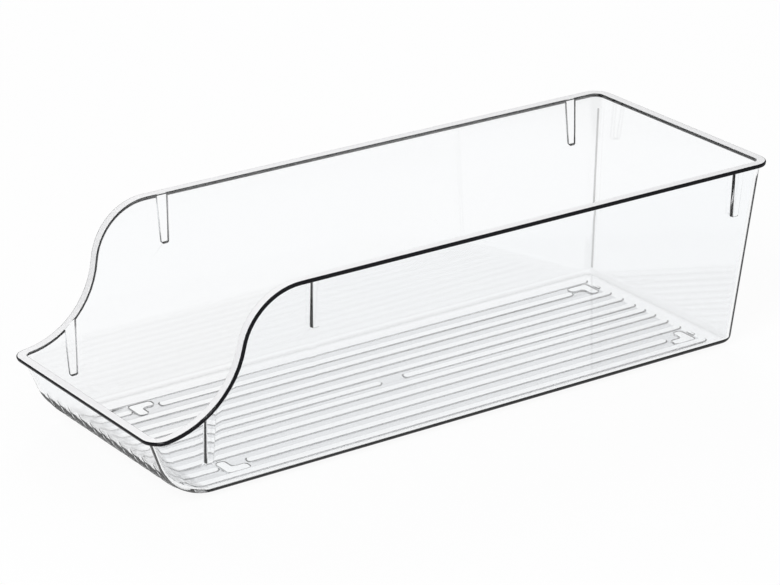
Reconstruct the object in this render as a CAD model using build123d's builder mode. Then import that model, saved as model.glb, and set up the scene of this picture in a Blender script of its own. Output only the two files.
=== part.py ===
from build123d import *
from math import cos, radians, sin, tan
import os

# A clear, one-piece injection-moulded fridge bin. Z is up, the low open front faces -Y, and the
# origin is on the table under the middle of the bin. The moulding is written out as the regions
# that its mould cuts: the tub, the rim flange, the floor ribs, the feet and the nesting lugs.

# Driving dimensions, in millimetres and degrees
length = 360.0  # over the rim, front to rear
width = 140.0  # over the rim, side to side
height = 100.0  # table to the top of the rim
front_height = 37.0  # table to the top of the rim at the low front
wall = 2.2  # thickness of the walls and the floor

# Draft of the walls, and the radii that turn them into the floor and into each other
side_lean = 4.3
rear_lean = 5.2
front_lean = 21.0
front_radius = 29.0
corner_radius = 6.5  # up the corners and along the floor's other edges

# Rim flange, which follows the S-curve of the side walls down to the front
overhang = 2.8
rim_thickness = 2.0
rim_edge = 0.8  # rounding of the flange's upper outer edge

# S-curve: two arcs that meet at the steepest point
scoop_angle = 81.0
crest_radius = 31.0
lip_length = 4.3  # level rim at the front before the S-curve rises

# Long ribs under the floor, which wrap the front radius and fade out on the front wall
ribs_per_side = 5
rib_pitch = 10.1
middle_pitch = 8.3
rib_width = 5.0
rib_height = 1.0
rib_rear_inset = 23.0
gate_inset = 176.5  # middle of the gap in the centre rib, from the front edge
gate_gap = 13.0

# L-shaped feet under the corners of the floor
foot_height = 1.5
foot_arm = 13.0
foot_width = 5.5
foot_round = 2.0
foot_side_inset = 24.3
foot_front_inset = 52.0
foot_rear_inset = 26.5

# Tapered lugs that stop stacked bins from jamming
lug_depth = 2.1
lug_length = 24.0
lug_foot_width = 4.2
lug_taper = 2.1
lug_round = 0.8
front_lug_inset = 32.0
crest_lug_offset = 9.5
rear_lug_inset = 21.7
front_lug_drop = 18.0  # its lower end, under the front rim

# Places that follow from the sizes above
half_length = length / 2
half_width = width / 2
steepness = 1 - cos(radians(scoop_angle))
dip_radius = (height - front_height) / steepness - crest_radius
dip_centre = -half_length + lip_length
crest_centre = dip_centre + (dip_radius + crest_radius) * sin(radians(scoop_angle))
clear = 10.0  # how far cutting bodies reach past what they cut


# How far a leaning face would stand out at the rim's top if the rim's edge weren't rounded.
def rim_reach(half_extent, lean, growth):
    slant = radians(lean)
    rounded_off = rim_edge * (tan(slant) + 1 / cos(slant) - 1)
    return half_extent + rounded_off + (growth - overhang) / cos(slant)


# Solid with the tub's outer form, grown outwards on every face but the open top: two leaning
# profiles that cross, a large radius along the front, and one radius round every other corner.
def tub_form(growth):
    base = foot_height - growth
    top = height + clear

    # How far a leaning face stands out at the form's base and at its top.
    def ends(half_extent, lean, rim_level):
        reach = rim_reach(half_extent, lean, growth)
        return [reach + tan(radians(lean)) * (level - rim_level) for level in (base, top)]

    side_low, side_high = ends(half_width, side_lean, height)
    front_low, front_high = ends(half_length, front_lean, front_height)
    rear_low, rear_high = ends(half_length, rear_lean, height)
    side_view = ((-front_low, base), (rear_low, base), (rear_high, top), (-front_high, top))
    end_view = ((-side_low, base), (side_low, base), (side_high, top), (-side_high, top))
    with BuildPart() as form:
        with BuildSketch(Plane.YZ):
            with BuildLine():
                Polyline(*side_view, close=True)
            make_face()
        extrude(amount=width, both=True)
        with BuildSketch(Plane.XZ):
            with BuildLine():
                Polyline(*end_view, close=True)
            make_face()
        extrude(amount=length, both=True, mode=Mode.INTERSECT)
        front_edge = form.edges().group_by(Axis.Z)[0].sort_by(Axis.Y)[0]
        fillet(front_edge, radius=front_radius + growth)
        brim = form.faces().sort_by(Axis.Z)[-1].edges()
        fillet(form.edges() - brim, radius=corner_radius + growth)
    return form.part


# Everything under the S-curve, lowered square to the curve by a drop.
def under_rim(drop):
    dip = dip_radius + drop
    crest = crest_radius - drop
    dip_middle = (dip_centre, front_height + dip_radius)
    crest_middle = (crest_centre, height - crest_radius)
    with BuildPart() as region:
        with BuildSketch(Plane.YZ):
            with BuildLine():
                low = Line((-half_length - clear, -clear), (-half_length - clear, front_height - drop))
                lip = Line(low @ 1, (dip_centre, front_height - drop))
                rise = CenterArc(dip_middle, dip, -90, scoop_angle)
                crown = CenterArc(crest_middle, crest, 90 + scoop_angle, -scoop_angle)
                top = Line(crown @ 1, (half_length + clear, height - drop))
                back = Line(top @ 1, (half_length + clear, -clear))
                Line(back @ 1, low @ 0)
            make_face()
        extrude(amount=half_width + clear, both=True)
    return region.part


outer_form = tub_form(0)
below_rim = under_rim(0)
below_flange = under_rim(rim_thickness)

# Tub: floor and four walls, open at the top and scooped down to the front
with BuildPart() as tub_shell:
    add(outer_form)
    add(tub_form(-wall), mode=Mode.SUBTRACT)
    add(below_rim, mode=Mode.INTERSECT)
tub_shell.part.label = "tub_shell"

# Rim flange all round the outside of the top edge
with BuildPart() as rim_flange:
    add(tub_form(overhang))
    add(below_rim, mode=Mode.INTERSECT)
    add(below_flange, mode=Mode.SUBTRACT)
    add(outer_form, mode=Mode.SUBTRACT)
    outer_edges = rim_flange.edges().filter_by(lambda edge: edge.distance_to(outer_form) > overhang / 2)
    upper_edges = outer_edges.filter_by(lambda edge: edge.distance_to(below_flange) > rim_thickness / 2)
    fillet(upper_edges, radius=rim_edge)
rim_flange.part.label = "rim_flange"

# Feet: four L shapes that point at the corners of the floor
with BuildPart() as corner_feet:
    foot_x = half_width - foot_side_inset
    for foot_y, inward in ((half_length - foot_rear_inset, -1), (foot_front_inset - half_length, 1)):
        with BuildSketch() as foot_print:
            with BuildLine():
                Polyline(
                    (foot_x, foot_y),
                    (foot_x, foot_y + inward * foot_arm),
                    (foot_x - foot_width, foot_y + inward * foot_arm),
                    (foot_x - foot_width, foot_y + inward * foot_width),
                    (foot_x - foot_arm, foot_y + inward * foot_width),
                    (foot_x - foot_arm, foot_y),
                    close=True,
                )
            make_face()
            fillet(foot_print.vertices(), radius=foot_round)
            mirror(about=Plane.YZ)
        extrude(amount=foot_height)
corner_feet.part.label = "corner_feet"

# Ribs: long slots in plan, cut from the tub's own form shifted down along the front wall
with BuildPart() as floor_ribs:
    rib_front = -half_length - clear
    rib_rear = half_length - rib_rear_inset
    gate = gate_inset - half_length
    with BuildSketch(Plane.XY.offset(-clear)):
        for side in (-1, 1):
            for number in range(ribs_per_side):
                with Locations((side * (middle_pitch + number * rib_pitch), (rib_front + rib_rear) / 2)):
                    SlotOverall(rib_rear - rib_front, rib_width, rotation=90)
        for start, end in ((rib_front, gate - gate_gap / 2), (gate + gate_gap / 2, rib_rear)):
            with Locations((0, (start + end) / 2)):
                SlotOverall(end - start, rib_width, rotation=90)
    extrude(amount=clear + front_height)
    fade = rib_height * tan(radians(front_lean))
    add(outer_form.moved(Location((0, fade, -rib_height))), mode=Mode.INTERSECT)
    add(outer_form, mode=Mode.SUBTRACT)
    add(corner_feet.part, mode=Mode.SUBTRACT)
floor_ribs.part.label = "floor_ribs"

# Nesting lugs: three tapered pads on each side wall, hanging under the flange
with BuildPart() as nesting_lugs:
    lug_foot = height - rim_thickness - lug_length
    lug_places = (
        (front_lug_inset - half_length, front_height - front_lug_drop),
        (crest_centre + crest_lug_offset, lug_foot),
        (half_length - rear_lug_inset, lug_foot),
    )
    for lug_y, lug_z in lug_places:
        half_foot = lug_foot_width / 2
        half_head = half_foot + (height - lug_z) * tan(radians(lug_taper))
        with BuildSketch(Plane.YZ) as lug_print:
            with BuildLine():
                Polyline(
                    (lug_y - half_foot, lug_z),
                    (lug_y + half_foot, lug_z),
                    (lug_y + half_head, height),
                    (lug_y - half_head, height),
                    close=True,
                )
            make_face()
            fillet(lug_print.vertices().group_by(Axis.Y)[0], radius=lug_round)
    extrude(amount=half_width + clear, both=True)
    add(tub_form(lug_depth), mode=Mode.INTERSECT)
    add(below_flange, mode=Mode.INTERSECT)
    add(outer_form, mode=Mode.SUBTRACT)
nesting_lugs.part.label = "nesting_lugs"

os.makedirs("parts", exist_ok=True)
export_step(tub_shell.part, "parts/tub_shell.step")
export_step(rim_flange.part, "parts/rim_flange.step")
export_step(floor_ribs.part, "parts/floor_ribs.step")
export_step(corner_feet.part, "parts/corner_feet.step")
export_step(nesting_lugs.part, "parts/nesting_lugs.step")
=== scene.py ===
from math import asin, cos, pi, radians, sin, sqrt, tan

import bmesh
import bpy
import numpy as np
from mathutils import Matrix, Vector
from mathutils.geometry import delaunay_2d_cdt


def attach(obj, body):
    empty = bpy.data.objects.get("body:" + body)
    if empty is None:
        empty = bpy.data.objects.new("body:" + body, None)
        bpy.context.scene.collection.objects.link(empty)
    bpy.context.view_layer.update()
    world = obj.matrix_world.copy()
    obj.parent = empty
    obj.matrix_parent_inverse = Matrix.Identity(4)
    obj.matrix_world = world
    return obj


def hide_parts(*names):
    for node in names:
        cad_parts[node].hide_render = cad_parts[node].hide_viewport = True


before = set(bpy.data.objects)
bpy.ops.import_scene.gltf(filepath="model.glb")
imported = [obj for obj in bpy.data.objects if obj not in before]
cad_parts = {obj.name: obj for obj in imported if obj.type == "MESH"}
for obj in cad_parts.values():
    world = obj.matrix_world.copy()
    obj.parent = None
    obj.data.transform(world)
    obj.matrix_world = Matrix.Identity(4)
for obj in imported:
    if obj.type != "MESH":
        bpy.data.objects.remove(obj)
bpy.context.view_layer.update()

mm = 0.001
closeBy = 1e-6  # points nearer to each other than this are one point
print("frame loaded:", sorted(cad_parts))

# A clear one-piece fridge bin. Its five CAD nodes are regions of one moulding, so one seamless mesh
# stands for all of them, since clear plastic would show every false seam. Sizes are millimetres.
tub = {
    "length": 360.0, "width": 140.0, "height": 100.0, "frontHeight": 37.0, "wall": 2.2,
    "sideLean": 4.3, "rearLean": 5.2, "frontLean": 21.0, "sideRadius": 4.5, "frontRadius": 29.0,
    "rearCorner": 7.0, "frontCorner": 6.0, "rearFloorCorner": 4.0, "frontFloorCorner": 5.0,
    "bowlSteps": 12, "turnSteps": 9, "wallSteps": 4, "leadSteps": 5, "betweenSteps": 5, "tailSteps": 3,
    "frontMiddle": 0.34, "rearMiddle": 0.73,  # where the front's and rear's middle rows lie up the wall
    "rearPlaces": (0.5, 0.0, -0.5),  # where the rear wall's columns stand
}
rim = {
    "overhang": 2.8, "thickness": 2.0, "edge": 0.8, "lowerEdge": 0.4, "innerEdge": 0.35, "fillet": 0.4,
    "edgeSteps": 5, "smallSteps": 3, "scoopAngle": 81.0, "crestRadius": 31.0, "lip": 4.3,
    "scoopSteps": 13, "settleRounds": 12,
}
ribs = {
    "perSide": 5, "pitch": 10.1, "middlePitch": 8.3, "width": 5.0, "height": 1.0, "rearInset": 23.0,
    "gateInset": 176.5, "gateGap": 13.0, "endSteps": 6,
    # a rib's side: how far in from its edge, and the share of its height reached there
    "side": ((-0.15, 0.0), (0.0, 0.08), (0.15, 0.34), (0.35, 0.7), (0.65, 0.92), (1.1, 1.0)),
}
feet = {
    "height": 1.5, "arm": 13.0, "width": 5.5, "round": 2.0, "sideInset": 24.3, "frontInset": 52.0,
    "rearInset": 26.5, "gap": 1.0, "stubRound": 1.2, "turnSteps": 4,
    "side": ((-0.15, 0.0), (0.0, 0.06), (0.08, 0.3), (0.15, 0.8), (0.3, 0.96), (0.6, 1.0)),
}
lugs = {
    "depth": 2.1, "length": 24.0, "footWidth": 4.2, "taper": 2.1, "round": 1.2,
    "frontInset": 32.0, "crestOffset": 9.5, "rearInset": 21.7, "frontDrop": 18.0,
    "side": ((-0.3, 0.0), (-0.05, 0.08), (0.05, 0.3), (0.15, 0.8), (0.35, 0.96), (0.7, 1.0)),
}

# Painted shade on the edges, standing in for the light that they trap: near 1 from anywhere, and less
# only at a glance. The rim's top is below 0 and gets painted light, standing in for the walls' light
# that comes out there.
paintedEdgeShadeAndLight = {
    "nose": 1.0, "foot": 0.62, "frontFoot": 0.24, "corner": 0.42, "cornerLine": 0.98, "lug": 0.45,
    "rimTop": -1.0, "darkSpan": (0.93, 1.05), "paleSpan": (0.0, -0.9),
    "cornerLineSpan": (0.5, 0.7),  # share of the rear corner's turn that the dark line takes
    "paintedShade": {"Base Color": (0.008, 0.008, 0.01, 1), "Roughness": 0.4, "Specular IOR Level": 0.1},
    "paintedLight": {"Base Color": (0.95, 0.95, 0.96, 1), "Roughness": 0.4},
}

halfLength = tub["length"] / 2
halfWidth = tub["width"] / 2
base = feet["height"]
scoopTurn = radians(rim["scoopAngle"])
dipRadius = (tub["height"] - tub["frontHeight"]) / (1 - cos(scoopTurn)) - rim["crestRadius"]
dipCentre = rim["lip"] - halfLength
crestCentre = dipCentre + (dipRadius + rim["crestRadius"]) * sin(scoopTurn)
ribFade = ribs["height"] * tan(radians(tub["frontLean"]))
ribRear = halfLength - ribs["rearInset"]
sideRibs = [ribs["middlePitch"] + i * ribs["pitch"] for i in range(ribs["perSide"])]
ribPlaces = sorted([0.0] + sideRibs + [-x for x in sideRibs])
ribsReach = sideRibs[-1] + ribs["width"] / 2 - ribs["side"][0][0]


# How far a wall stands out at a rise above its floor: straight and leaning, turned into the floor.
def standOut(rise, topReach, topRise, lean, radius):
    slope = tan(radians(lean))
    if rise >= radius * (1 - sin(radians(lean))):
        return topReach - slope * (topRise - rise)
    centre = topReach - slope * (topRise - radius) - radius / cos(radians(lean))
    return centre + sqrt(radius**2 - (radius - max(rise, 0)) ** 2)


# How far a leaning wall would stand out at the rim's top if the rim's edge weren't rounded.
def rimReach(half, lean, growth):
    slant = radians(lean)
    rounded = rim["edge"] * (tan(slant) + (1 - sqrt(1 + sin(slant) ** 2)) / cos(slant))
    return half + rounded + (growth - rim["overhang"]) / cos(slant)


# The moulding's section at a height: how far the sides, front and rear stand out, and the radii of
# its corners. Growth 0 is the outside, -wall the inside, and the flange and lugs grow outwards.
def section(z, growth):
    rise = z - base + growth
    sideBowl, frontBowl = tub["sideRadius"] + growth, tub["frontRadius"] + growth
    drop, frontDrop = tub["height"] - base + growth, tub["frontHeight"] - base + growth
    sideTop = rimReach(halfWidth, tub["sideLean"], growth)
    rearTop = rimReach(halfLength, tub["rearLean"], growth)
    frontTop = rimReach(halfLength, tub["frontLean"], growth)
    side = standOut(rise, sideTop, drop, tub["sideLean"], sideBowl)
    rear = standOut(rise, rearTop, drop, tub["rearLean"], sideBowl)
    front = standOut(rise, frontTop, frontDrop, tub["frontLean"], frontBowl)
    turn = min(max(rise / sideBowl, 0), 1)
    rounding = sqrt(1 - (1 - turn) ** 2)
    frontRound = tub["frontFloorCorner"] + (tub["frontCorner"] - tub["frontFloorCorner"]) * rounding
    rearRound = tub["rearFloorCorner"] + (tub["rearCorner"] - tub["rearFloorCorner"]) * rounding
    return side, front, rear, frontRound + growth, rearRound + growth


# Height of the rim over a place along the bin, lowered square to the S-curve by a depth.
def rimHeight(y, depth=0.0):
    dip, crest = dipRadius + depth, rim["crestRadius"] - depth
    if y <= dipCentre:
        return tub["frontHeight"] - depth
    if y <= dipCentre + dip * sin(scoopTurn):
        return tub["frontHeight"] + dipRadius - sqrt(dip**2 - (y - dipCentre) ** 2)
    if y < crestCentre:
        return tub["height"] - rim["crestRadius"] + sqrt(crest**2 - (crestCentre - y) ** 2)
    return tub["height"] - depth


lugFoot = tub["height"] - rim["thickness"] - lugs["length"]
lugPlaces = [
    (lugs["frontInset"] - halfLength, tub["frontHeight"] - lugs["frontDrop"]),
    (crestCentre + lugs["crestOffset"], lugFoot),
    (halfLength - lugs["rearInset"], lugFoot),
]
# Below these heights, the columns beyond these places along the bin lean in with the corners.
hold = {"front": (lugPlaces[0][1] - 1.0, -110.0), "rear": (lugFoot - 4.0, 110.0)}


# A line that runs from under the floor up the outside, over the rim and down the inside.
class Column:
    def __init__(self, kind, hand=1, at=0.0, lug=None, end=0, share=0.0, slant=0.0, rib=0.0,
                 middle=tub["frontMiddle"]):
        self.kind, self.hand, self.at = kind, hand, at  # its stretch, its side, its place on it
        self.lug, self.end = lug, end  # the lug it crosses, and which of its edges
        self.share = share  # its share of the lug's depth
        self.slant = slant  # angle of the rim where the column meets the S-curve squarely
        self.rib = rib  # its share of a rib's height
        self.middle = middle  # where its middle rows lie between bowl and rim

    # Place in plan at a height.
    def place(self, z, growth):
        side, front, rear, frontRound, rearRound = section(z, growth)
        if self.kind == "front":
            beyond = abs(self.at) - (side - frontRound)
            if beyond <= 0:
                return self.at, -front
            return self.at, frontRound - front - sqrt(max(frontRound**2 - beyond**2, 0))
        if self.kind == "frontTurn":
            start = asin(min(max((ribsReach - side + frontRound) / frontRound, 0), 1))
            angle = start + (pi / 2 - start) * self.at
            x = side - frontRound + frontRound * sin(angle)
            return self.hand * x, frontRound - front - frontRound * cos(angle)
        if self.kind == "rearTurn":
            angle = pi / 2 * self.at
            x = side - rearRound + rearRound * cos(angle)
            return self.hand * x, rear - rearRound + rearRound * sin(angle)
        if self.kind == "rear":
            return self.at * (side - rearRound), rear
        return self.hand * side, self.along(z, growth)

    # Place along a long side. It keeps clear of the corners, which lean in towards the floor.
    def along(self, z, growth):
        def ends(level):
            _, front, rear, frontRound, rearRound = section(level, growth)
            return frontRound - front, rear - rearRound

        def leanIn(y, pivot, end, held):
            return pivot + (y - pivot) * (end - pivot) / (held - pivot)

        frontLevel, frontPivot = hold["front"]
        rearLevel, rearPivot = hold["rear"]
        y = self.at
        if self.kind == "lead":
            start = ends(max(z, frontLevel))[0]
            y = start + (lugPlaces[0][0] - lugs["footWidth"] - start) * self.at
        if self.kind == "tail":
            start = lugPlaces[2][0] + lugs["footWidth"]
            y = start + (ends(max(z, rearLevel))[1] - start) * self.at
        if self.lug is not None:
            centre, foot = lugPlaces[self.lug]
            rise = max(z - foot, 0)
            turned = max(lugs["round"] - abs(z - foot), 0)
            rounding = lugs["round"] - sqrt(lugs["round"] ** 2 - turned**2)
            halfLug = lugs["footWidth"] / 2 + rise * tan(radians(lugs["taper"])) - rounding
            y = centre + self.end * (halfLug - self.at)
        if z < frontLevel and y < frontPivot:
            y = leanIn(y, frontPivot, ends(z)[0], ends(frontLevel)[0])
        if z < rearLevel and y > rearPivot:
            y = leanIn(y, rearPivot, ends(z)[1], ends(rearLevel)[1])
        return y

    # A point on the rim's section, as far out as a growth and as far under the rim's top as a depth.
    def rimPoint(self, growth, depth):
        if self.slant:
            y = self.at + depth * sin(self.slant)
            z = rimHeight(self.at) - depth * cos(self.slant)
            return self.hand * section(z, growth)[0], y, z
        z = tub["frontHeight"] - depth
        for _ in range(rim["settleRounds"]):
            x, y = self.place(z, growth)
            z = rimHeight(y, depth)
        return x, y, z

    # Heights of the rows in the bowl. The front's radius is far larger than the sides', so the rows
    # of a front corner's columns lie between the two.
    def bowl(self, growth):
        frontBowl = (tub["frontRadius"] + growth, radians(90 - tub["frontLean"]))
        sideBowl = (tub["sideRadius"] + growth, radians(90 - tub["sideLean"]))
        weight = {"front": 0.0, "frontTurn": self.at}.get(self.kind, 1.0)
        steps = []
        for i in range(tub["bowlSteps"] + 1):
            share = i / tub["bowlSteps"]
            frontRise, sideRise = [size * (1 - cos(full * share)) for size, full in (frontBowl, sideBowl)]
            steps.append(base - growth + frontRise + (sideRise - frontRise) * weight)
        return steps

    # Straight wall between two heights, drawn along to meet the rim squarely.
    def wallPoint(self, z, growth, low, high, topDepth):
        x, y = self.place(z, growth)
        return x, y + topDepth * sin(self.slant) * (z - low) / (high - low), z

    # How much painted shade the column's point in a row gets; below 0 it is painted light. It fades up
    # the front corners and up the lugs.
    def shade(self, row):
        if row in noseRows:
            return paintedEdgeShadeAndLight["nose"]
        if row in topRows:
            return paintedEdgeShadeAndLight["rimTop"]
        if 0 < row < tub["bowlSteps"]:
            upwards = row / tub["bowlSteps"]
            share = {"front": 0.0, "frontTurn": self.at * max(1 - 2 * upwards, 0)}
            more = (paintedEdgeShadeAndLight["foot"] - paintedEdgeShadeAndLight["frontFoot"]) * share.get(self.kind, 1.0)
            return paintedEdgeShadeAndLight["frontFoot"] + more
        if self.kind == "rearTurn" and row < rowsBelowRim:
            start, end = paintedEdgeShadeAndLight["cornerLineSpan"]
            return paintedEdgeShadeAndLight["cornerLine" if start < self.at < end else "corner"]
        if 0 < self.share < 1 and rowsBelowLug < row < rowsBelowRim:
            upwards = (row - rowsBelowLug) / (rowsBelowRim - rowsBelowLug)
            return paintedEdgeShadeAndLight["lug"] * (1 - upwards / 2)
        return 0.0

    # All its points, from the floor's outer edge up the outside, over the rim and down the inside.
    def points(self):
        line = []
        for z in self.bowl(0):
            x, y = self.place(z, 0)
            line.append((x, y + ribFade * self.rib, z - ribs["height"] * self.rib))
        low = line[-1][2] + ribs["height"] * self.rib
        topDepth = rim["thickness"] + rim["fillet"]
        high = self.rimPoint(0, topDepth)[2]
        middle = low + (high - low) * self.middle
        if self.lug is not None:
            middle = lugPlaces[self.lug][1]
        first = middle + lugs["side"][0][0]
        x, y, z = self.wallPoint((low + first) / 2, 0, low, high, topDepth)
        line.append((x, y + ribFade * self.rib / 2, z - ribs["height"] * self.rib / 2))
        for inset, share in lugs["side"]:
            growth = lugs["depth"] * min(share, self.share)
            line.append(self.wallPoint(middle + inset, growth, low, high, topDepth))
        last = middle + lugs["side"][-1][0]
        for i in range(1, tub["wallSteps"]):
            z = last + (high - last) * i / tub["wallSteps"]
            line.append(self.wallPoint(z, lugs["depth"] * self.share, low, high, topDepth))
        for growth, depth in rimSection:
            if depth >= rim["thickness"]:
                growth = max(growth, lugs["depth"] * self.share)
            line.append(self.rimPoint(growth, depth))
        inside = -tub["wall"]
        inner = self.bowl(inside)[::-1]
        topZ = line[-1][2]
        for i in range(1, tub["wallSteps"]):
            z = topZ + (inner[0] - topZ) * i / tub["wallSteps"]
            line.append(self.wallPoint(z, inside, inner[0], topZ, rim["innerEdge"]))
        for z in inner:
            x, y = self.place(z, inside)
            line.append((x, y, z))
        return line


def arc(centre, radius, start, end, steps):
    angles = [radians(start + (end - start) * i / steps) for i in range(steps + 1)]
    return [(centre[0] + radius * cos(a), centre[1] + radius * sin(a)) for a in angles]


# Section of the rim as (growth, depth), from the wall under the flange, round it and to the inside.
def makeRimSection():
    out, thick, edge, fillet = rim["overhang"], rim["thickness"], rim["edge"], rim["fillet"]
    lower, inner, few = rim["lowerEdge"], rim["innerEdge"], rim["smallSteps"]
    line = arc((fillet, thick + fillet), fillet, 180, 270, few)
    line += arc((out - lower, thick - lower), lower, 90, 0, few)
    line += arc((out - edge, edge), edge, 0, -90, rim["edgeSteps"])
    line += arc((inner - tub["wall"], inner), inner, 270, 180, few)
    return line


rimSection = makeRimSection()
# Rows of the flange's outer nose and of its top, counted as Column.points lists them.
rowsBelowLug = tub["bowlSteps"] + 2
rowsBelowRim = rowsBelowLug + len(lugs["side"]) + tub["wallSteps"] - 1
rowsBelowNose = rowsBelowRim + rim["smallSteps"] + 1
rowsBelowTop = rowsBelowNose + rim["smallSteps"] + 1 + rim["edgeSteps"]
noseRows = range(rowsBelowNose + 1, rowsBelowTop)
topRows = (rowsBelowTop, rowsBelowTop + 1)


# A lug's columns: in from its front edge, one up its middle and out to its rear edge.
def lugColumns(hand, number, middle):
    def column(inset, end, share):
        return Column("side", hand, inset, number, end, share, middle=middle)

    frontEdge = [column(inset, -1, share) for inset, share in lugs["side"]]
    rearEdge = [column(inset, 1, share) for inset, share in lugs["side"]]
    return frontEdge + [column(0.0, 0, 1.0)] + rearEdge[::-1]


# One long side's columns from front to rear.
def sideColumns(hand):
    frontLug, middleLug, rearLug = [y for y, _ in lugPlaces]
    margin = lugs["footWidth"]
    shares = []
    for y, foot in lugPlaces:
        low, high = base + tub["sideRadius"], rimHeight(y, rim["thickness"])
        shares.append((foot - low) / (high - low))
    lead, between, tail = tub["leadSteps"], tub["betweenSteps"], tub["tailSteps"]
    columns = [Column("lead", hand, i / lead, middle=shares[0]) for i in range(1, lead)]
    columns += lugColumns(hand, 0, shares[0])
    places = []
    for i in range(rim["scoopSteps"] + 1):
        angle = scoopTurn * i / rim["scoopSteps"]
        places.append((dipCentre + dipRadius * sin(angle), angle))
        places.append((crestCentre - rim["crestRadius"] * sin(angle), angle))
    for y, angle in sorted(set(places)):
        if frontLug + margin < y < middleLug - margin:
            share = shares[0] + (shares[1] - shares[0]) * (y - frontLug) / (middleLug - frontLug)
            columns.append(Column("side", hand, y, slant=angle, middle=share))
    columns += lugColumns(hand, 1, shares[1])
    for i in range(1, between):
        y = middleLug + (rearLug - middleLug) * i / between
        columns.append(Column("side", hand, y, middle=shares[1]))
    columns += lugColumns(hand, 2, shares[2])
    columns += [Column("tail", hand, i / tail, middle=shares[2]) for i in range(1, tail)]
    return columns


def ribColumns(centre):
    half = ribs["width"] / 2
    left = [Column("front", at=centre - half + inset, rib=share) for inset, share in ribs["side"]]
    right = [Column("front", at=centre + half - inset, rib=share) for inset, share in ribs["side"]]
    return left + right[::-1]


# All the way round, seen from above: along the front, up one side, across the rear and back.
turn = [i / tub["turnSteps"] for i in range(tub["turnSteps"] + 1)]
rearMiddle = tub["rearMiddle"]
columns = [column for x in ribPlaces for column in ribColumns(x)]
columns += [Column("frontTurn", 1, at) for at in turn] + sideColumns(1)
columns += [Column("rearTurn", 1, at, middle=rearMiddle) for at in turn]
columns += [Column("rear", at=at, middle=rearMiddle) for at in tub["rearPlaces"]]
columns += [Column("rearTurn", -1, at, middle=rearMiddle) for at in turn[::-1]]
columns += sideColumns(-1)[::-1] + [Column("frontTurn", -1, at) for at in turn[::-1]]

points, paintedLevels, faces = [], [], []


# Adds a ring of points with their levels of painted shade and light, and gives their indexes.
def addRing(ring, paintedShade=None):
    start = len(points)
    points.extend(ring)
    paintedLevels.extend(paintedShade or [0.0] * len(ring))
    return list(range(start, len(points)))


# Faces between two rings with equally many points.
def bridge(lower, upper, closed):
    count = len(lower)
    for i in range(count if closed else count - 1):
        j = (i + 1) % count
        faces.append((lower[i], lower[j], upper[j], upper[i]))


lines = [column.points() for column in columns]
rows = []
for row in range(len(lines[0])):
    rows.append(addRing([line[row] for line in lines], [column.shade(row) for column in columns]))
for lower, upper in zip(rows, rows[1:]):
    bridge(lower, upper, True)
faces.append(tuple(rows[-1]))
print("wall and rim:", len(lines), "columns of", len(lines[0]))


# Points of a closed outline whose corners are all turned with one radius. inset moves it inwards.
def roundedOutline(corners, radius, inset, steps):
    outline = []
    count = len(corners)
    for i in range(count):
        before, corner, after = [Vector(corners[(i + k) % count]) for k in (-1, 0, 1)]
        into, out = (corner - before).normalized(), (after - corner).normalized()
        bend = into.cross(out)  # above zero at an outer corner of an outline that runs anticlockwise
        hand = 1 if bend > 0 else -1
        centre = corner - into * radius + Vector((-into.y, into.x)) * radius * hand
        start = Vector((into.y, -into.x)) * hand
        size = radius - inset * hand
        for k in range(steps + 1):
            angle = pi / 2 * k / steps * hand
            across = start.x * cos(angle) - start.y * sin(angle)
            along = start.x * sin(angle) + start.y * cos(angle)
            outline.append(tuple(centre + Vector((across, along)) * size))
    return outline


underLoops = []  # outlines that bound the flat underside


# A raised form under the floor: rings from the floor down its side, closed by a flat end.
def raised(makeOutline, profile, height):
    rings = []
    for inset, share in profile:
        rings.append(addRing([(x, y, base - height * share) for x, y in makeOutline(inset)]))
    for lower, upper in zip(rings, rings[1:]):
        bridge(lower, upper, True)
    faces.append(tuple(rings[-1]))
    underLoops.append(rings[0])


# A rib that ends at both its start and its end.
def closedRib(centre, start, end, radius):
    half = ribs["width"] / 2
    corners = [(centre - half, start), (centre + half, start), (centre + half, end), (centre - half, end)]

    def outline(inset):
        return roundedOutline(corners, radius, inset, ribs["endSteps"])

    raised(outline, ribs["side"], ribs["height"])


# An L-shaped foot whose outer corner points at a corner of the floor.
def foot(hand, corner, inward):
    out = halfWidth - feet["sideInset"]
    arm, width = feet["arm"], feet["width"]
    shape = [(0, 0), (0, arm), (width, arm), (width, width), (arm, width), (arm, 0)]
    corners = [(hand * (out - x), corner + inward * y) for x, y in shape]
    area = sum(a[0] * b[1] - a[1] * b[0] for a, b in zip(corners, corners[1:] + corners[:1]))
    corners = corners if area > 0 else corners[::-1]

    def outline(inset):
        return roundedOutline(corners, feet["round"], inset, feet["turnSteps"])

    raised(outline, feet["side"], feet["height"])


rearFoot = halfLength - feet["rearInset"]
frontFoot = feet["frontInset"] - halfLength
for hand in (-1, 1):
    foot(hand, rearFoot, -1)
    foot(hand, frontFoot, 1)

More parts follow.
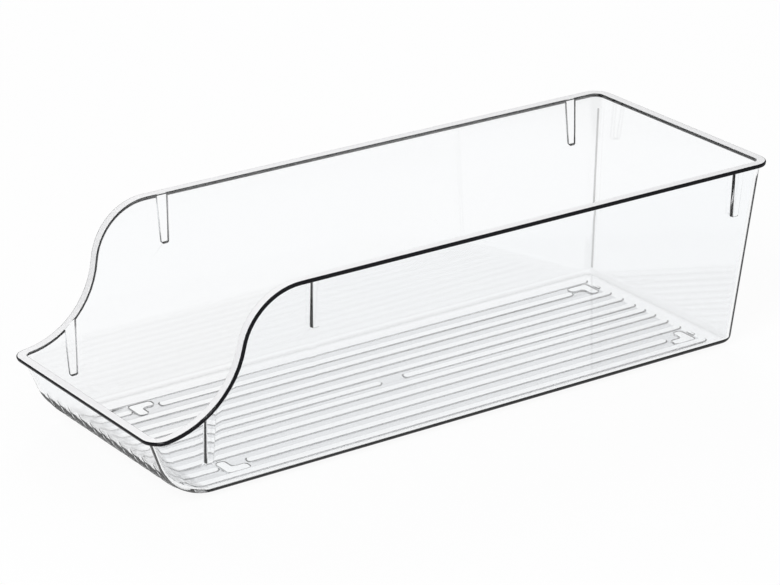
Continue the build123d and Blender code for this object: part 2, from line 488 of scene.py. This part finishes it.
# Ribs run on from the front's columns to rounded ends; feet and the gate break some of them.
gate = ribs["gateInset"] - halfLength
footX = halfWidth - feet["sideInset"]
underEdge = []
ringStart = 0
for centre in ribPlaces:
    half = ribs["width"] / 2
    byFoot = footX - feet["arm"] < abs(centre) < footX
    end = ribRear
    if byFoot:
        end = frontFoot - feet["gap"]
        beyond = feet["arm"] + feet["gap"]
        closedRib(centre, frontFoot + beyond, rearFoot - beyond, half)
        closedRib(centre, rearFoot + feet["gap"], ribRear, feet["stubRound"])
    if centre == 0:
        end = gate - ribs["gateGap"] / 2
        closedRib(centre, gate + ribs["gateGap"] / 2, ribRear, half)
    count = len(ribs["side"])
    rings = []
    for i, (inset, share) in enumerate(ribs["side"]):
        size = half - inset
        bow = arc((centre, end - half), size, 180, 0, 2 * ribs["endSteps"])
        bowRing = addRing([(x, y, base - ribs["height"] * share) for x, y in bow])
        rings.append([rows[0][ringStart + i]] + bowRing + [rows[0][ringStart + 2 * count - 1 - i]])
    for lower, upper in zip(rings, rings[1:]):
        bridge(lower, upper, False)
    faces.append(tuple(rings[-1]))
    underEdge += rings[0]
    ringStart += 2 * count
underEdge += rows[0][ringStart:]
underLoops.append(underEdge)


# The flat underside between the ribs and feet. A triangle is kept where a line from it to one side
# crosses the outlines an odd number of times.
def fillUnderside():
    order = [index for loop in underLoops for index in loop]
    flat = [Vector(points[index][:2]) for index in order]
    edges, start = [], 0
    for loop in underLoops:
        edges += [(start + i, start + (i + 1) % len(loop)) for i in range(len(loop))]
        start += len(loop)
    placed, _, triangles, sources, _, _ = delaunay_2d_cdt(flat, edges, [], 0, closeBy)
    for triangle in triangles:
        middle = sum((placed[i] for i in triangle), Vector((0, 0))) / 3
        crossings = 0
        for a, b in edges:
            (ax, ay), (bx, by) = flat[a], flat[b]
            if (ay > middle.y) != (by > middle.y):
                crossings += middle.x < ax + (middle.y - ay) * (bx - ax) / (by - ay)
        if crossings % 2:
            faces.append(tuple(order[sources[i][0]] for i in triangle))


fillUnderside()
print("underside filled:", len(faces), "faces in all")


def makeMesh(name, points, paintedLevels, faces):
    mesh = bpy.data.meshes.new(name)
    work = bmesh.new()
    # Per point: painted shade above 0, painted light below 0.
    layer = work.verts.layers.float.new("paintedShadeAndLight")
    corners = []
    for point, shade in zip(points, paintedLevels):
        corners.append(work.verts.new([value * mm for value in point]))
        corners[-1][layer] = shade
    for face in faces:
        work.faces.new([corners[index] for index in face])
    bmesh.ops.remove_doubles(work, verts=work.verts, dist=closeBy)
    bmesh.ops.recalc_face_normals(work, faces=work.faces)
    openEdges = sum(not edge.is_manifold for edge in work.edges)
    print(name, "open edges:", openEdges, "volume in ml:", round(work.calc_volume() * 1e6, 1))
    work.to_mesh(mesh)
    work.free()
    mesh.shade_smooth()
    # Large flat faces lead the shading, so that only the rounded edges look round.
    normals = np.zeros((len(mesh.vertices), 3))
    for face in mesh.polygons:
        for vertex in face.vertices:
            normals[vertex] += np.array(face.normal) * face.area
    normals /= np.linalg.norm(normals, axis=1)[:, None]
    mesh.normals_split_custom_set_from_vertices([tuple(normal) for normal in normals])
    piece = bpy.data.objects.new(name, mesh)
    bpy.context.scene.collection.objects.link(piece)
    return piece


moulding = makeMesh("bin_moulding", points, paintedLevels, faces)
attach(moulding, "root")
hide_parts("tub_shell", "rim_flange", "floor_ribs", "corner_feet", "nesting_lugs")


# A socket's output, which Python's own operators wire into Math nodes.
class Wire:
    def __init__(self, graph, socket):
        self.graph, self.socket = graph, socket

    def calc(self, operation, *values):
        return self.graph.add("ShaderNodeMath", {"operation": operation}, dict(enumerate(values)))

    def __add__(self, other):
        return self.calc("ADD", self, other)

    def __radd__(self, other):
        return self.calc("ADD", other, self)

    def __sub__(self, other):
        return self.calc("SUBTRACT", self, other)

    def __rsub__(self, other):
        return self.calc("SUBTRACT", other, self)

    def __mul__(self, other):
        return self.calc("MULTIPLY", self, other)

    def __rmul__(self, other):
        return self.calc("MULTIPLY", other, self)

    def between(self, low, high):
        span = {"Value": self, "From Min": low, "From Max": high}
        return self.graph.add("ShaderNodeMapRange", {"interpolation_type": "SMOOTHSTEP"}, span)


class Graph:
    def __init__(self, tree):
        self.tree = tree
        tree.nodes.clear()

    def add(self, kind, settings=None, inputs=None, output=0):
        node = self.tree.nodes.new(kind)
        for key, value in (settings or {}).items():
            setattr(node, key, value)
        for key, value in (inputs or {}).items():
            socket = node.inputs[key]
            if isinstance(value, Wire):
                self.tree.links.new(value.socket, socket)
            else:
                socket.default_value = value
        return Wire(self, node.outputs[output])


def newMaterial(name):
    material = bpy.data.materials.new(name)
    material.use_nodes = True
    return material, Graph(material.node_tree)


def outputTo(g, shader, kind="ShaderNodeOutputMaterial"):
    node = g.tree.nodes.new(kind)
    g.tree.links.new(shader.socket, node.inputs["Surface"])


plastic = {
    "tint": (0.975, 0.983, 0.99, 1), "ior": 1.57, "roughness": 0.012, "smudge": 0.03, "ripple": 0.02,
    "smudgeScale": 22.0, "smudgeDetail": 5.0, "smudgeSpan": (0.45, 0.8),
    "rippleScale": 9.0, "rippleDetail": 1.0, "rippleDepth": 0.002,
    # painted shade: the floor between the ribs is tinted a little greyer, and its edge there is this soft
    "gapPaintedShade": (0.62, 0.63, 0.65, 1), "gapBlend": 0.2,
}


def clearPlastic():
    material, g = newMaterial("clearPlastic")
    where = g.add("ShaderNodeTexCoord", output="Object")
    smudge = g.add("ShaderNodeTexNoise", {}, {
        "Vector": where, "Scale": plastic["smudgeScale"], "Detail": plastic["smudgeDetail"]})
    ripple = g.add("ShaderNodeTexNoise", {}, {
        "Vector": where, "Scale": plastic["rippleScale"], "Detail": plastic["rippleDetail"]})
    bump = g.add("ShaderNodeBump", {}, {
        "Height": ripple, "Strength": plastic["ripple"], "Distance": plastic["rippleDepth"]})
    rough = plastic["roughness"] + smudge.between(*plastic["smudgeSpan"]) * plastic["smudge"]
    x, y, z = [g.add("ShaderNodeSeparateXYZ", {}, {0: where}, output=axis) for axis in range(3)]
    # Painted shade: the underside between the ribs gets the greyer tint.
    blend, level, side, rear = [
        size * mm for size in (plastic["gapBlend"], base, sideRibs[-1], ribRear - ribs["width"] / 2)]
    fromBelow = z.between(level - 2 * blend, level - blend)
    fromAbove = z.between(level + 2 * blend, level + blend)
    across = x.calc("ABSOLUTE", x).between(side, side - blend)
    along = y.between(rear + blend, rear - blend)
    gapShadeMask = fromBelow * fromAbove * (across * along)
    # the Mix node's colours are its sockets 6 and 7, and the mixed colour is its output 2
    tint = g.add("ShaderNodeMix", {"data_type": "RGBA"}, {
        "Factor": gapShadeMask, 6: plastic["tint"], 7: plastic["gapPaintedShade"]}, output=2)
    clear = g.add("ShaderNodeBsdfPrincipled", {}, {
        "Base Color": tint, "Roughness": rough, "IOR": plastic["ior"],
        "Transmission Weight": 1.0, "Normal": bump})
    # Painted shade on the rim's nose, the lowest edge, a rear corner line and the lugs' sides, more at a
    # glance; painted light on the rim's top.
    edge = g.add("ShaderNodeAttribute", {"attribute_name": "paintedShadeAndLight"}, output="Fac")
    glance = g.add("ShaderNodeLayerWeight", {}, {"Blend": 0.5}, output="Facing")
    within = g.add("ShaderNodeNewGeometry", output="Backfacing")
    paintedShadeMask = (edge + glance * (1 - within)).between(*paintedEdgeShadeAndLight["darkSpan"])
    paintedLightMask = edge.between(*paintedEdgeShadeAndLight["paleSpan"]) * (1 - within)
    paintedShade = g.add("ShaderNodeBsdfPrincipled", {}, paintedEdgeShadeAndLight["paintedShade"])
    paintedLight = g.add("ShaderNodeBsdfPrincipled", {}, paintedEdgeShadeAndLight["paintedLight"])
    withPaintedShade = g.add("ShaderNodeMixShader", {}, {0: paintedShadeMask, 1: clear, 2: paintedShade})
    outputTo(g, g.add("ShaderNodeMixShader", {}, {0: paintedLightMask, 1: withPaintedShade, 2: paintedLight}))
    return material


moulding.data.materials.append(clearPlastic())
print("plastic ready")


# The floor in metres: how far it lies under the bin, and where the table ends for the plastic.
stage = {
    "size": 12.0, "under": 0.0003, "tableEnd": (0.45, 0.7), "colour": (0.9, 0.9, 0.91, 1),
    "glow": 0.94,  # its share of glow, and the rest is lit and holds the bin's shadow
}


# White without end to the camera. To the plastic the table ends not far behind the bin.
def makeFloor():
    size, z = stage["size"] / 2, -stage["under"]
    corners = [(-size, -size, z), (size, -size, z), (size, size, z), (-size, size, z)]
    mesh = bpy.data.meshes.new("floor")
    mesh.from_pydata(corners, [], [(0, 1, 2, 3)])
    floor = bpy.data.objects.new("floor", mesh)
    bpy.context.scene.collection.objects.link(floor)
    material, g = newMaterial("paleFloor")
    seen = g.add("ShaderNodeLightPath", output="Is Camera Ray")
    gloss = g.add("ShaderNodeLightPath", output="Is Glossy Ray")
    through = g.add("ShaderNodeLightPath", output="Is Transmission Ray")
    clamped = {"operation": "ADD", "use_clamp": True}
    shown = g.add("ShaderNodeMath", clamped, {0: seen + gloss, 1: through})
    place = g.add("ShaderNodeNewGeometry", output="Position")
    away = g.add("ShaderNodeVectorMath", {"operation": "LENGTH"}, {0: place}, output="Value")
    level = 1 - away.between(*stage["tableEnd"])
    level = level + seen * (1 - level)
    paint = g.add("ShaderNodeBsdfDiffuse", {}, {"Color": stage["colour"]})
    glowColour = g.add("ShaderNodeCombineColor", {}, {0: level, 1: level, 2: level})
    glow = g.add("ShaderNodeEmission", {}, {"Color": glowColour, "Strength": 1.0})
    outputTo(g, g.add("ShaderNodeMixShader", {}, {0: shown * stage["glow"], 1: paint, 2: glow}))
    mesh.materials.append(material)


# Where the surroundings turn from dark to white or back, as parts of a direction's length.
surroundings = {
    "horizon": (0.28, 0.38), "left": (0.1, 0.4), "behind": (0.1, 0.3), "high": (0.48, 0.56),
}


# White to the camera. To the plastic it's dark at the horizon, on the left and high up behind.
def makeWorld():
    world = bpy.data.worlds.new("studio")
    bpy.context.scene.world = world
    world.use_nodes = True
    g = Graph(world.node_tree)
    seen = g.add("ShaderNodeLightPath", output="Is Camera Ray")
    way = g.add("ShaderNodeTexCoord", output="Generated")
    x, y, up = [g.add("ShaderNodeSeparateXYZ", {}, {0: way}, output=axis) for axis in range(3)]
    turned = radians(view["azimuth"])
    behind = y * cos(turned) - x * sin(turned)
    left = -1 * (x * cos(turned) + y * sin(turned))
    level = up.between(*surroundings["horizon"]) * (1 - left.between(*surroundings["left"]))
    highBehind = behind.between(*surroundings["behind"]) * up.between(*surroundings["high"])
    level = level * (1 - highBehind)
    level = level + seen * (1 - level)
    shade = g.add("ShaderNodeBackground", {}, {"Color": (1, 1, 1, 1), "Strength": level})
    outputTo(g, shade, "ShaderNodeOutputWorld")


# Soft lamps in metres and watts, aimed at the bin's middle. The plastic doesn't mirror them.
lampAim = Vector((0, 0, 0.05))
lamps = {
    "keyLight": {"place": (0.7, -1.2, 1.3), "size": 0.8, "watts": 20},
    "fillLight": {"place": (-1.2, 0.8, 1.2), "size": 1.0, "watts": 10},
}


def softLight(name, place, size, watts):
    data = bpy.data.lights.new(name, "AREA")
    data.shape, data.size, data.energy = "DISK", size, watts
    lamp = bpy.data.objects.new(name, data)
    lamp.location = place
    lamp.rotation_euler = (lampAim - Vector(place)).to_track_quat("-Z", "Y").to_euler()
    lamp.visible_glossy = False
    lamp.visible_transmission = False
    bpy.context.scene.collection.objects.link(lamp)


# The camera that the photograph's edges give: angles in degrees, sizes in millimetres and pixels.
view = {
    "azimuth": 55.015, "elevation": 21.931, "distance": 1595.4, "focal": 3259.5,
    "aim": (0.0, 0.0, 51.5), "aimPixel": (396.93, 285.88), "axisPixel": (389.0, 292.9),
    "photo": (780, 585), "sensor": 36.0, "reach": 50000.0,
}


def makeCamera():
    turnBy, tilt = radians(view["azimuth"]), radians(view["elevation"])
    back = Vector((sin(turnBy) * cos(tilt), -cos(turnBy) * cos(tilt), sin(tilt)))
    right = Vector((cos(turnBy), sin(turnBy), 0))
    up = back.cross(right)
    offX = (view["aimPixel"][0] - view["axisPixel"][0]) / view["focal"]
    offY = (view["aimPixel"][1] - view["axisPixel"][1]) / view["focal"]
    place = Vector(view["aim"]) - view["distance"] * (-back + right * offX - up * offY)
    data = bpy.data.cameras.new("camera")
    data.sensor_width = view["sensor"]
    data.lens = view["focal"] / view["photo"][0] * view["sensor"]
    data.shift_x = (view["photo"][0] / 2 - view["axisPixel"][0]) / view["photo"][0]
    data.shift_y = (view["axisPixel"][1] - view["photo"][1] / 2) / view["photo"][0]
    data.clip_end = view["reach"] * mm
    camera = bpy.data.objects.new("camera", data)
    camera.location = place * mm
    camera.rotation_euler = back.to_track_quat("Z", "Y").to_euler()
    bpy.context.scene.collection.objects.link(camera)
    bpy.context.scene.camera = camera


makeFloor()
makeWorld()
for lampName, lamp in lamps.items():
    softLight(lampName, **lamp)
makeCamera()
bpy.context.scene.view_settings.view_transform = "Standard"
print("stage ready")
